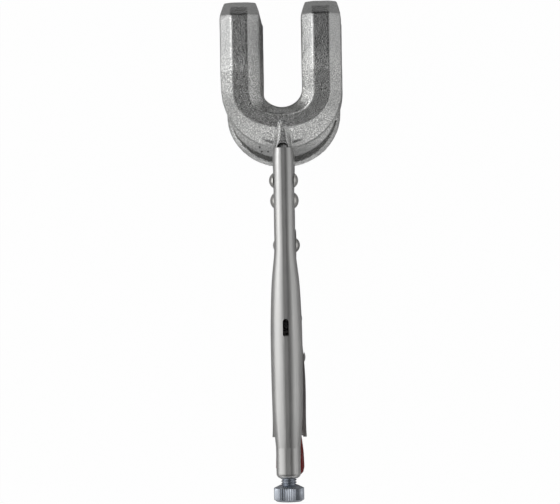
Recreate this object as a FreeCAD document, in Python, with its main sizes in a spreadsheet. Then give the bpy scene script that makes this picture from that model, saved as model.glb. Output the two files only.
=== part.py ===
import FreeCAD, Part
import math
import os
import re
import Sketcher
from FreeCAD import Placement, Rotation, Vector

# Locking pliers with U-shaped forged jaws. Millimetres, +Y towards the jaw tips, +Z up.
# Every piece is drawn about the jaw pivot: Y from the pivot, Z from the back of the fixed
# handle. The placement of each piece then lifts the whole tool onto its standing plane.

SIZES = {
    # where the tool stands
    "stand_drop": 46.0,
    "middle_shift": 26.1,
    # running and seating clearances
    "pivot_clearance": 0.06,
    "side_clearance": 0.2,
    "moving_gap": 0.7,
    "pad_gap": 0.3,
    # pivots, from the jaw pivot and the back of the handle
    "jaw_pivot_z": -15.0,
    "handle_pivot_y": -22.5,
    "handle_pivot_z": -36.0,
    "link_pivot_y": -60.0,
    "link_pivot_z": -21.5,
    "lever_pivot_y": -80.0,
    "lever_pivot_z": -33.0,
    "link_end_y": -98.0,
    "screw_axis_z": -8.5,
    "front_rivet_y": 10.0,
    "front_rivet_z": -6.4,
    # jaws: heights are measured from the plane where the pads meet
    "pad_plane_z": -18.0,
    "arm_spacing": 40.5,
    "arm_width": 20.0,
    "arm_height": 13.0,
    "arm_ridge_width": 7.0,
    "arm_base_width": 15.0,
    "arm_side_low": 3.5,
    "arm_side_high": 8.0,
    "arm_corner": 1.2,
    "arm_rise": 15.0,
    "arm_end_y": 91.0,
    "crease_y": 64.0,
    "crease_radius": 25.0,
    "slope_angle": 19.0,
    "slope_run": 9.3,
    "flank_inset": 2.05,
    "flank_inner_radius": 12.0,
    "flank_shift": 9.0,
    "flank_shift_ahead": 3.0,
    "flank_height": 6.0,
    "flank_taper": 40.0,
    "lower_flank_inset": 1.0,
    "lower_flank_shift": 11.65,
    "tip_y": 99.3,
    "hook_root_y": 78.0,
    "hook_back_y": 90.0,
    "hook_nose_y": 95.0,
    "pad_width": 15.0,
    "tip_width": 15.8,
    # shanks of the two jaws
    "cheek_width": 10.24,
    "shank_root_y": 34.0,
    "shank_end_y": -2.0,
    "shank_top_z": -2.1,
    "shank_under_z": -11.5,
    "hub_radius": 7.5,
    "tail_hub_radius": 6.0,
    "rib_width": 7.5,
    "rib_top_width": 3.0,
    "rib_front_y": 41.0,
    "rib_back_y": 28.6,
    # fixed handle: pressed channel
    "sheet_thickness": 1.9,
    "nose_y": 26.3,
    "sheet_end_y": -124.2,
    "cheek_drop": 24.0,
    "edge_z": -13.2,
    "nose_step": 0.6,
    "cheek_flare": 1.2,
    "back_flat": 0.8,
    "neck_y": -25.0,
    "swell_start_y": -38.0,
    "swell_start_width": 13.2,
    "swell_y": -50.0,
    "swell_width": 14.8,
    "grip_front_y": -66.0,
    "grip_rear_y": -84.0,
    "grip_width": 15.8,
    "taper_y": -104.0,
    "taper_width": 15.2,
    "taper_drop": 0.3,
    "tail_y": -116.0,
    "tail_width": 13.8,
    "tail_drop": 0.8,
    "end_drop": 1.5,
    "slot_middle_y": -64.0,
    "slot_length": 9.6,
    "slot_width": 3.0,
    "anchor_y": -67.5,
    "anchor_z": -7.8,
    # end nut and adjusting screw
    "nut_width": 12.25,
    "nut_height": 12.6,
    "nut_end_y": -139.8,
    "nut_corner": 5.0,
    "nut_end_round": 2.6,
    "spigot_width": 8.4,
    "spigot_height": 9.6,
    "spigot_end_y": -110.0,
    "screw_radius": 4.0,
    "screw_tip_y": -105.4,
    "knob_front_y": -143.2,
    "knob_end_y": -151.5,
    "knob_radius": 7.65,
    "knob_chamfer": 1.0,
    # lower handle: pressed channel
    "lower_sheet": 1.7,
    "lower_front_y": -14.5,
    "fork_end_y": -27.0,
    "lower_end_y": -120.9,
    "lower_top_z": -11.0,
    "belly_flat": 1.3,
    "front_belly_z": -44.2,
    "lower_neck_y": -36.0,
    "neck_belly_z": -42.4,
    "waist_y": -47.0,
    "waist_width": 11.2,
    "waist_belly_z": -40.4,
    "hump_width": 12.4,
    "hump_belly_z": -39.6,
    "lower_swell_y": -73.0,
    "lower_swell_width": 14.6,
    "swell_belly_z": -41.0,
    "lower_grip_y": -86.0,
    "lower_grip_width": 16.6,
    "grip_belly_z": -43.8,
    "heel_y": -104.0,
    "heel_width": 17.1,
    "lower_end_width": 17.5,
    "end_belly_z": -45.2,
    "front_round": 8.2,
    "lever_edge_z": -27.0,
    "end_edge_z": -31.5,
    # toggle link
    "link_thickness": 5.0,
    "link_hub_radius": 5.6,
    "link_hub_width": 8.2,
    "link_waist": 8.4,
    "link_end_radius": 4.2,
    "link_end_width": 8.0,
    # release lever
    "lever_sheet": 1.3,
    "lever_front_y": -66.0,
    "lever_end_y": -138.1,
    "lever_nose_width": 7.8,
    "lever_nose_z": -26.9,
    "lever_width": 11.6,
    "lever_tail_width": 15.2,
    "lever_flat": 1.2,
    "lever_wall_z": -35.2,
    "lever_end_round": 5.0,
    # rivets
    "front_rivet_radius": 2.4,
    "jaw_rivet_radius": 3.0,
    "handle_rivet_radius": 2.5,
    "link_rivet_radius": 2.4,
    "lever_rivet_radius": 1.8,
    "front_head_radius": 3.75,
    "jaw_head_radius": 4.0,
    "handle_head_radius": 3.6,
    "link_head_radius": 3.5,
    "lever_head_radius": 2.6,
    "head_height": 2.1,
    "low_head_height": 1.3,
    # tension spring
    "spring_radius": 2.7,
    "spring_wire": 0.9,
    "spring_loop": 2.4,
    "spring_lug_y": -14.5,
    "spring_lug_z": -17.6,
    "lug_thickness": 2.0,
    "lug_radius": 3.0,
    "lug_hole_radius": 1.1,
}

document = FreeCAD.newDocument("locking_clamp")
sheet = document.addObject("Spreadsheet::Sheet", "Sizes")
for row, (alias, number) in enumerate(SIZES.items(), 1):
    sheet.set(f"A{row}", alias)
    sheet.set(f"B{row}", str(number))
    sheet.setAlias(f"B{row}", alias)
document.recompute()

# the shanks of both jaws run between the cheeks of the fixed handle
SHANK = "(cheek_width-2*sheet_thickness-2*side_clearance)"
# and the cheeks of the lower handle run outside the lower jaw's tail
LOWER_CHEEK = f"({SHANK}/2+side_clearance+lower_sheet)"
# from the middle of a jaw to the outer side of an arm
ARM_REACH = "(arm_spacing/2+arm_width/2)"


def size(text):
    """A formula in the names of the sheet, as an expression other objects can hold."""
    return re.sub(r"\b([a-z]+(?:_[a-z]+)+)\b", r"Sizes.\1", str(text))


def value(text):
    """What a formula in the names of the sheet comes to now."""
    return float(sheet.evalExpression(size(text)))


def stand(thing):
    """Move a piece from the pivot's frame to the frame of the standing tool."""
    thing.setExpression(".Placement.Base.y", size("middle_shift"))
    thing.setExpression(".Placement.Base.z", size("stand_drop"))


def new_body(name):
    body = document.addObject("PartDesign::Body", name)
    body.Label = name
    stand(body)
    return body


def plane(body, role):
    return next(f for f in body.Origin.OriginFeatures if f.Role == role)


def new_sketch(body, name, role, offset="0", tilt=None, base=None):
    """A sketch on an origin plane, moved along the plane's normal by an offset."""
    sketch = body.newObject("Sketcher::SketchObject", name)
    sketch.AttachmentSupport = [(plane(body, role), "")]
    sketch.MapMode = "FlatFace"
    if tilt:
        sketch.AttachmentOffset = Placement(Vector(), Rotation(Vector(1, 0, 0), value(tilt)))
        sketch.setExpression("AttachmentOffset.Rotation.Angle", size(tilt))
        sketch.setExpression("AttachmentOffset.Base.y", size(base[0]))
        sketch.setExpression("AttachmentOffset.Base.z", size(base[1]))
    else:
        sketch.setExpression("AttachmentOffset.Base.z", size(offset))
    return sketch


def pin_point(sketch, element, end, point):
    """Hold one point of the sketch at two formulas."""
    for kind, formula in zip(("DistanceX", "DistanceY"), point):
        spot = sketch.addConstraint(Sketcher.Constraint(kind, -1, 1, element, end, value(formula)))
        sketch.setExpression(f"Constraints[{spot}]", size(formula))


def outline(sketch, points, arcs=None):
    """A closed outline through points given as formulas. arcs says which edges are arcs:
    {edge number: (radius formula, 1 if it bulges to the left of its direction, -1 to the right)}."""
    arcs = arcs or {}
    spots = [Vector(value(a), value(b), 0) for a, b in points]
    count = len(points)
    for i in range(count):
        start = spots[i]
        end = spots[(i + 1) % count]
        if i in arcs:
            radius, side = value(arcs[i][0]), arcs[i][1]
            chord = end - start
            half = chord.Length / 2
            left = Vector(-chord.y, chord.x, 0).normalize()
            rise = radius - (radius**2 - half**2) ** 0.5
            middle = (start + end) / 2 + left * rise * side
            edge = Part.Arc(start, middle, end)
        else:
            edge = Part.LineSegment(start, end)
        sketch.addGeometry(edge)
    document.recompute()

    def ends(i):
        """The point numbers of an edge's start and end: an arc always runs anticlockwise."""
        if i in arcs and arcs[i][1] > 0:
            return 2, 1
        return 1, 2

    for i in range(count):
        following = (i + 1) % count
        sketch.addConstraint(
            Sketcher.Constraint("Coincident", i, ends(i)[1], following, ends(following)[0])
        )
        pin_point(sketch, i, ends(i)[0], points[i])
    for i, (radius, _) in arcs.items():
        spot = sketch.addConstraint(Sketcher.Constraint("Radius", i, value(radius)))
        sketch.setExpression(f"Constraints[{spot}]", size(radius))
    return sketch


def circle(sketch, point, radius):
    spot = sketch.addGeometry(
        Part.Circle(Vector(value(point[0]), value(point[1]), 0), Vector(0, 0, 1), value(radius))
    )
    pin_point(sketch, spot, 3, point)
    held = sketch.addConstraint(Sketcher.Constraint("Radius", spot, value(radius)))
    sketch.setExpression(f"Constraints[{held}]", size(radius))
    return sketch


def pad(body, sketch, length, midplane=True, taper=None, reverse=False):
    feature = body.newObject("PartDesign::Pad", f"{sketch.Name}_pad")
    feature.Profile = sketch
    feature.setExpression("Length", size(length))
    feature.Midplane = midplane
    feature.Reversed = reverse
    if taper:
        feature.setExpression("TaperAngle", size(taper))
    return feature


def pocket(body, sketch, length):
    """A cut to both sides of its sketch."""
    feature = body.newObject("PartDesign::Pocket", f"{sketch.Name}_cut")
    feature.Profile = sketch
    feature.setExpression("Length", size(length))
    feature.Midplane = True
    return feature


def loft(body, kind, sketches, ruled=False):
    feature = body.newObject(f"PartDesign::{kind}Loft", f"{sketches[0].Name}_loft")
    feature.Profile = sketches[0]
    feature.Sections = sketches[1:]
    feature.Ruled = ruled
    return feature


def side_sketch(body, name):
    """Seen from the right: first value along Y, second along Z."""
    return new_sketch(body, name, "YZ_Plane")


def rivet_hole(body, name, spot, radius):
    """A hole right across the piece for a rivet or pin."""
    return pocket(body, circle(side_sketch(body, name), spot, radius), "4*knob_radius")


# the channels ------------------------------------------------------------------------------

def channel_section(body, name, y, half_top, half_edge, top, edge, corner, inside, up):
    """One section across a channel: rounded at its web, open at its edges. up is 1 where the
    web is on top, -1 where it is below. inside is the wall left out of the outer section."""
    sketch = new_sketch(body, name, "XZ_Plane", offset=f"-({y})")
    half = f"({half_top}-{inside})"
    foot = f"({half_edge}-{inside})"
    web = f"({top}-({up})*{inside})"
    round_off = f"({corner}-{inside})"
    low = f"({web}-({up})*{round_off})"
    flat = f"({half}-{round_off})"
    points = [
        (f"-{foot}", edge),
        (f"-{half}", low),
        (f"-{flat}", web),
        (flat, web),
        (half, low),
        (foot, edge),
    ]
    side = 1 if up > 0 else -1
    return outline(sketch, points, {1: (round_off, side), 3: (round_off, side)})


def channel(body, name, stations, edge, cut_edge, wall, up):
    """A pressed channel: the outer loft, less an inner loft that leaves its wall."""
    for kind, inside, rim in (("Additive", "0", edge), ("Subtractive", wall, cut_edge)):
        sections = [
            channel_section(
                body, f"{name}_{kind}_{i}", y, top_half, edge_half, top, rim,
                f"({top_half}-{flat})", inside, up,
            )
            for i, (y, top_half, edge_half, top, flat) in enumerate(stations)
        ]
        document.recompute()
        loft(body, kind, sections)
        document.recompute()


def fixed_handle():
    body = new_body("fixed_handle")
    # y, half width at the back, half width at the edges, height of the back, half flat
    cheek = "cheek_width/2"
    stations = [
        ("nose_y", f"{cheek}-0.5", f"{cheek}-0.1", "0", "back_flat"),
        ("nose_y-7", cheek, f"{cheek}+cheek_flare", "0", "back_flat"),
        ("nose_y-15", cheek, f"{cheek}+cheek_flare/6", "0", "back_flat"),
        ("-6", cheek, cheek, "0", "back_flat"),
        ("-16", cheek, cheek, "0", "back_flat"),
        ("neck_y", f"{cheek}+0.1", f"{cheek}+0.1", "0", "back_flat"),
        ("swell_start_y", "swell_start_width/2", "swell_start_width/2", "0", "back_flat"),
        ("swell_y", "swell_width/2", "swell_width/2", "0", "back_flat"),
        ("grip_front_y", "grip_width/2", "grip_width/2", "0", "back_flat"),
        ("grip_rear_y", "grip_width/2", "grip_width/2", "0", "back_flat"),
        ("taper_y", "taper_width/2", "taper_width/2", "-taper_drop", "back_flat"),
        ("tail_y", "tail_width/2", "tail_width/2", "-tail_drop", "back_flat"),
        ("sheet_end_y", "nut_width/2", "nut_width/2", "-end_drop", "back_flat"),
    ]
    channel(body, "back", stations, "-cheek_drop", "-cheek_drop-5", "sheet_thickness", 1)
    lower_edge = outline(
        side_sketch(body, "lower_edge"),
        [
            ("nose_y+5", "-cheek_drop-8"),
            ("nose_y+5", "edge_z+nose_step"),
            ("nose_y-8", "edge_z+nose_step"),
            ("hub_radius*0.8", "jaw_pivot_z-hub_radius*0.6"),
            ("-hub_radius*0.8", "jaw_pivot_z-hub_radius*0.6"),
            ("-20", "edge_z"),
            ("sheet_end_y-5", "edge_z"),
            ("sheet_end_y-5", "-cheek_drop-8"),
        ],
        {
            2: ("30", 1),
            3: ("hub_radius", -1),
            4: ("30", 1),
        },
    )
    pocket(body, lower_edge, "4*knob_radius")
    document.recompute()
    slot = outline(
        new_sketch(body, "anchor_slot", "XY_Plane"),
        [
            ("-slot_width/2", "slot_middle_y-slot_length/2+slot_width/2"),
            ("slot_width/2", "slot_middle_y-slot_length/2+slot_width/2"),
            ("slot_width/2", "slot_middle_y+slot_length/2-slot_width/2"),
            ("-slot_width/2", "slot_middle_y+slot_length/2-slot_width/2"),
        ],
        {0: ("slot_width*0.51", -1), 2: ("slot_width*0.51", -1)},
    )
    pocket(body, slot, "3*sheet_thickness")
    document.recompute()
    rivet_hole(body, "front_hole", ("front_rivet_y", "front_rivet_z"), "front_rivet_radius")
    rivet_hole(body, "pivot_hole", ("0", "jaw_pivot_z"), "jaw_rivet_radius")
    document.recompute()
    tab = outline(
        side_sketch(body, "anchor_tab"),
        [
            ("anchor_y-2.4", "-sheet_thickness/2"),
            ("anchor_y-2.4", "anchor_z-1.6"),
            ("anchor_y-0.4", "anchor_z-1.6"),
            ("anchor_y-0.4", "-sheet_thickness/2"),
        ],
    )
    pad(body, tab, "slot_width/2")
    return body


def end_nut():
    body = new_body("end_nut")
    half_w, half_h = "nut_width/2", "nut_height/2"
    middle = "screw_axis_z+0.6"
    points = [
        (f"-{half_w}", f"{middle}-{half_h}+nut_corner"),
        (f"-{half_w}+nut_corner", f"{middle}-{half_h}"),
        (f"{half_w}-nut_corner", f"{middle}-{half_h}"),
        (half_w, f"{middle}-{half_h}+nut_corner"),
        (half_w, f"{middle}+{half_h}-nut_corner"),
        (f"{half_w}-nut_corner", f"{middle}+{half_h}"),
        (f"-{half_w}+nut_corner", f"{middle}+{half_h}"),
        (f"-{half_w}", f"{middle}+{half_h}-nut_corner"),
    ]
    corners = {i: ("nut_corner", -1) for i in (0, 2, 4, 6)}
    collar = outline(
        new_sketch(body, "collar", "XZ_Plane", offset="-sheet_end_y"), points, corners
    )
    pad(body, collar, "sheet_end_y-nut_end_y", midplane=False)
    document.recompute()
    rim = [
        f"Edge{i}"
        for i, edge in enumerate(body.Tip.Shape.Edges, 1)
        if all(abs(corner.Y - value("nut_end_y")) < 0.01 for corner in edge.Vertexes)
    ]
    squared = body.Tip
    rounding = body.newObject("PartDesign::Fillet", "end_rounding")
    rounding.Base = (squared, rim)
    rounding.setExpression("Radius", size("nut_end_round"))
    document.recompute()
    half_s, half_t = "spigot_width/2", "spigot_height/2"
    spigot = outline(
        new_sketch(body, "spigot", "XZ_Plane", offset="-sheet_end_y"),
        [
            (f"-{half_s}", f"screw_axis_z-{half_t}"),
            (half_s, f"screw_axis_z-{half_t}"),
            (half_s, f"screw_axis_z+{half_t}-2"),
            (f"{half_s}-2", f"screw_axis_z+{half_t}"),
            (f"-{half_s}+2", f"screw_axis_z+{half_t}"),
            (f"-{half_s}", f"screw_axis_z+{half_t}-2"),
        ],
    )
    pad(body, spigot, "spigot_end_y-sheet_end_y", midplane=False, reverse=True)
    document.recompute()
    bore = circle(
        new_sketch(body, "bore", "XZ_Plane", offset="-sheet_end_y"),
        ("0", "screw_axis_z"),
        "screw_radius+pivot_clearance",
    )
    pocket(body, bore, "4*(sheet_end_y-nut_end_y)")
    return body


# the jaws ----------------------------------------------------------------------------------

def rounded_section(points, radius, to_space):
    """A closed wire through flat points, with each corner rounded."""
    edges = []
    count = len(points)
    flat = [Vector(a, b, 0) for a, b in points]
    cuts = []
    for i in range(count):
        back = (flat[i - 1] - flat[i]).normalize()
        ahead = (flat[(i + 1) % count] - flat[i]).normalize()
        half_angle = back.getAngle(ahead) / 2
        reach = radius / math.tan(half_angle)
        middle = (back + ahead).normalize()
        gap = radius / math.sin(half_angle) - radius
        cuts.append((flat[i] + back * reach, flat[i] + middle * gap, flat[i] + ahead * reach))
    for i in range(count):
        first, middle, last = (to_space(p) for p in cuts[i])
        edges.append(Part.Arc(first, middle, last).toShape())
        edges.append(Part.LineSegment(last, to_space(cuts[(i + 1) % count][0])).toShape())
    return Part.Wire(edges)


def swept_arms(name, up):
    """The U of one jaw: its section swept from tip to tip, down the slope and round the bend."""
    angle = value("slope_angle")
    down = Vector(0, -1, -up * value("tan(slope_angle)")).normalize()
    height = value("arm_height")
    level = value("pad_plane_z") + up * (value("arm_rise") + height / 2)
    half = value("arm_spacing") / 2
    tangent = value("crease_radius*tan(slope_angle/2)")
    crease = value("crease_y")
    bend_run = value("slope_run")

    def side_points(side):
        x = side * half
        corner = Vector(x, crease, level)
        start = Vector(x, value("arm_end_y"), level)
        before = corner + Vector(0, tangent, 0)
        after = corner + down * tangent
        centre_of_turn = before + Vector(0, 0, -up * value("crease_radius"))
        middle = centre_of_turn + (corner - centre_of_turn).normalize() * value("crease_radius")
        bend = corner + down * bend_run
        return start, before, middle, after, bend

    left = side_points(-1)
    right = side_points(1)
    centre = Vector(0, left[4].y, left[4].z)
    far = centre + down * half
    spine = Part.Wire(
        [
            Part.LineSegment(left[0], left[1]).toShape(),
            Part.Arc(left[1], left[2], left[3]).toShape(),
            Part.LineSegment(left[3], left[4]).toShape(),
            Part.Arc(left[4], far, right[4]).toShape(),
            Part.LineSegment(right[4], right[3]).toShape(),
            Part.Arc(right[3], right[2], right[1]).toShape(),
            Part.LineSegment(right[1], right[0]).toShape(),
        ]
    )
    wide = value("arm_width") / 2
    base = value("arm_base_width") / 2
    ridge = value("arm_ridge_width") / 2
    low = -height / 2
    corners = [
        (-base, low),
        (base, low),
        (wide, low + value("arm_side_low")),
        (wide, low + value("arm_side_high")),
        (ridge, height / 2),
        (-ridge, height / 2),
        (-wide, low + value("arm_side_high")),
        (-wide, low + value("arm_side_low")),
    ]
    section = rounded_section(
        corners,
        value("arm_corner"),
        lambda p: left[0] + Vector(p.x, 0, up * p.y),
    )
    swept = spine.makePipeShell([section], True, False, 1)
    feature = document.addObject("Part::Feature", name)
    feature.Shape = swept
    return feature, angle


def hook_section(body, name, y, half, base, ridge, heights, up):
    """One section of a hooked tip, its heights measured from the plane where the pads meet."""
    low, side_low, side_high, top = (f"pad_plane_z+({up})*({value_text})" for value_text in heights)
    middle = "arm_spacing/2"
    points = [
        (f"{middle}-({base})", low),
        (f"{middle}+({base})", low),
        (f"{middle}+({half})", side_low),
        (f"{middle}+({half})", side_high),
        (f"{middle}+({ridge})", top),
        (f"{middle}-({ridge})", top),
        (f"{middle}-({half})", side_high),
        (f"{middle}-({half})", side_low),
    ]
    return outline(new_sketch(body, name, "XZ_Plane", offset=f"-({y})"), points)


def forged_jaw(name, up, flank_radius, flank_shift):
    """The forging that both jaws share: arms, bend, flank and hooked tips."""
    arms, _ = swept_arms(f"{name}_arms", up)
    body = new_body(name)
    body.BaseFeature = arms
    document.recompute()
    crest = "arm_rise+arm_height"
    sections = [
        hook_section(
            body, f"{name}_hook_root", "hook_root_y", "arm_width/2-0.6", "arm_base_width/2-1",
            "arm_ridge_width/2-0.4", ("arm_rise+0.6", "arm_rise+3", "arm_rise+7", f"{crest}-0.6"), up,
        ),
        hook_section(
            body, f"{name}_hook_back", "hook_back_y", "arm_width/2-0.1", "pad_width/2",
            "arm_ridge_width/2-0.1", ("pad_gap/2", "5", "arm_rise+7.5", f"{crest}-0.15"), up,
        ),
        hook_section(
            body, f"{name}_hook_nose", "hook_nose_y", "arm_width/2-1.2", "pad_width/2-0.3",
            "arm_ridge_width/2", ("pad_gap/2", "4.5", "arm_rise+4.5", f"{crest}-4"), up,
        ),
        hook_section(
            body, f"{name}_hook_tip", "tip_y", "tip_width/2", "pad_width/2-0.8",
            "arm_ridge_width/2", ("pad_gap/2", "4", "arm_rise+2.5", f"{crest}-7.5"), up,
        ),
    ]
    document.recompute()
    hook = loft(body, "Additive", sections, ruled=True)
    document.recompute()
    mirrored = body.newObject("PartDesign::Mirrored", f"{name}_second_hook")
    mirrored.Originals = [hook]
    mirrored.MirrorPlane = (plane(body, "YZ_Plane"), [""])
    body.Tip = mirrored
    document.recompute()
    for part_name, length, draft, outward in (
        ("rise", "flank_height", "flank_taper", 1),
        ("fall", "arm_side_low-0.02", "atan((arm_width-arm_base_width)/(2*arm_side_low))", -1),
    ):
        flank = flank_sketch(body, f"{name}_flank_{part_name}", up, flank_radius, flank_shift)
        document.recompute()
        pad(
            body, flank, length, midplane=False, taper=f"-({draft})", reverse=up * outward < 0
        )
        document.recompute()
    return body


def flank_sketch(body, name, up, flank_radius, flank_shift):
    """The crescent behind the bend, on the sloping plane where the forging's two halves part."""
    drop = "(arm_height/2-arm_side_low)"
    sketch = new_sketch(
        body, name, "XY_Plane", tilt=f"({up})*slope_angle",
        base=(
            f"crease_y-slope_run*cos(slope_angle)+{drop}*sin(slope_angle)",
            f"pad_plane_z+({up})*(arm_rise+arm_height/2-slope_run*sin(slope_angle)"
            f"-{drop}*cos(slope_angle))",
        ),
    )
    ahead = "flank_shift_ahead"
    return outline(
        sketch,
        [
            (f"-{flank_radius}", f"-{flank_shift}"),
            (flank_radius, f"-{flank_shift}"),
            (flank_radius, ahead),
            ("flank_inner_radius", ahead),
            ("flank_inner_radius", f"-{flank_shift}"),
            ("-flank_inner_radius", f"-{flank_shift}"),
            ("-flank_inner_radius", ahead),
            (f"-{flank_radius}", ahead),
        ],
        {0: (f"{flank_radius}*1.0001", -1), 4: ("flank_inner_radius*1.0001", 1)},
    )


def upper_jaw():
    body = forged_jaw("upper_jaw", 1, f"({ARM_REACH}-flank_inset)", "flank_shift")
    half = f"{SHANK}/2"
    rib = [
        outline(
            new_sketch(body, f"rib_{end}", "XZ_Plane", offset=f"-({y})"),
            [
                ("-rib_width/2", low),
                ("rib_width/2", low),
                ("rib_top_width/2", top),
                ("-rib_top_width/2", top),
            ],
        )
        for end, y, low, top in (
            ("front", "rib_front_y", "-8", "-0.4"),
            ("back", "rib_back_y", "-11", "-1.4"),
        )
    ]
    document.recompute()
    loft(body, "Additive", rib, ruled=True)
    document.recompute()
    slots = new_sketch(body, "cheek_slots", "XY_Plane")
    outline(
        slots,
        [
            (f"{half}", "nose_y+0.3"),
            (f"{half}", "nose_y-15"),
            (f"{half}+4", "nose_y-15"),
            (f"{half}+4", "nose_y+0.3"),
        ],
    )
    cut = pocket(body, slots, "4*cheek_drop")
    document.recompute()
    twin = body.newObject("PartDesign::Mirrored", "cheek_slots_both")
    twin.Originals = [cut]
    twin.MirrorPlane = (plane(body, "YZ_Plane"), [""])
    body.Tip = twin
    document.recompute()
    shank = outline(
        side_sketch(body, "shank"),
        [
            ("shank_root_y", "shank_under_z"),
            ("shank_root_y", "shank_top_z-1.4"),
            ("shank_end_y", "shank_top_z-1.4"),
            ("shank_end_y", "jaw_pivot_z+sqrt((hub_radius+moving_gap)^2-shank_end_y^2)"),
            ("sqrt((hub_radius+moving_gap)^2-(shank_under_z-jaw_pivot_z)^2)", "shank_under_z"),
        ],
        {3: ("hub_radius+moving_gap", 1)},
    )
    pad(body, shank, SHANK)
    document.recompute()
    crest = outline(
        side_sketch(body, "shank_crest"),
        [
            ("shank_end_y", "shank_top_z-3"),
            ("nose_y-3", "shank_top_z-3"),
            ("nose_y-3", "shank_top_z"),
            ("shank_end_y", "shank_top_z"),
        ],
    )
    pad(body, crest, "rib_top_width")
    document.recompute()
    rivet_hole(body, "rivet_hole", ("front_rivet_y", "front_rivet_z"), "front_rivet_radius")
    return body


def tangent_outline(sketch, first, first_radius, second, second_radius):
    """The outline round two hubs: both circles and the straight flanks that touch them."""
    ay, az = (value(v) for v in first)
    by, bz = (value(v) for v in second)
    ra, rb = value(first_radius), value(second_radius)
    along = Vector(by - ay, bz - az, 0)
    distance = along.Length
    along.normalize()
    across = Vector(-along.y, along.x, 0)
    lean = (ra - rb) / distance
    rest = (1 - lean**2) ** 0.5
    left = along * lean + across * rest
    right = along * lean - across * rest
    centre_a, centre_b = Vector(ay, az, 0), Vector(by, bz, 0)
    edges = [
        Part.LineSegment(centre_a + left * ra, centre_b + left * rb),
        Part.Arc(centre_b + left * rb, centre_b + along * rb, centre_b + right * rb),
        Part.LineSegment(centre_b + right * rb, centre_a + right * ra),
        Part.Arc(centre_a + right * ra, centre_a - along * ra, centre_a + left * ra),
    ]
    for edge in edges:
        sketch.addGeometry(edge)
    document.recompute()
    arc_b, arc_a = 1, 3
    pin_point(sketch, arc_a, 3, first)
    pin_point(sketch, arc_b, 3, second)
    for arc, radius in ((arc_a, first_radius), (arc_b, second_radius)):
        spot = sketch.addConstraint(Sketcher.Constraint("Radius", arc, value(radius)))
        sketch.setExpression(f"Constraints[{spot}]", size(radius))

    def nearest_end(arc, line, line_end):
        target = sketch.getPoint(line, line_end)
        return min((1, 2), key=lambda end: sketch.getPoint(arc, end).distanceToPoint(target))

    for line, line_end, arc in ((0, 1, arc_a), (0, 2, arc_b), (2, 1, arc_b), (2, 2, arc_a)):
        arc_end = nearest_end(arc, line, line_end)
        sketch.addConstraint(Sketcher.Constraint("Tangent", line, line_end, arc, arc_end))
    return sketch


def lower_jaw():
    body = forged_jaw("lower_jaw", -1, f"({ARM_REACH}-lower_flank_inset)", "lower_flank_shift")
    tail = tangent_outline(
        side_sketch(body, "tail"),
        ("0", "jaw_pivot_z"), "hub_radius",
        ("handle_pivot_y", "handle_pivot_z"), "tail_hub_radius",
    )
    pad(body, tail, SHANK)
    document.recompute()
    neck = outline(
        side_sketch(body, "neck"),
        [
            ("shank_root_y", "-35.5"),
            ("shank_root_y", "-25"),
            ("hub_radius", "jaw_pivot_z"),
            ("0", "jaw_pivot_z"),
            ("-10", "-30"),
        ],
        {1: ("40", -1), 4: ("80", -1)},
    )
    pad(body, neck, SHANK)
    document.recompute()
    lug = circle(side_sketch(body, "spring_lug"), ("spring_lug_y", "spring_lug_z"), "lug_radius")
    pad(body, lug, "lug_thickness")
    document.recompute()
    rivet_hole(body, "lug_hole", ("spring_lug_y", "spring_lug_z"), "lug_hole_radius")
    rivet_hole(body, "hub_hole", ("0", "jaw_pivot_z"), "jaw_rivet_radius+pivot_clearance")
    rivet_hole(
        body, "tail_hole", ("handle_pivot_y", "handle_pivot_z"),
        "handle_rivet_radius+pivot_clearance",
    )
    return body


# the lower handle, its lever and link -------------------------------------------------------

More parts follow.
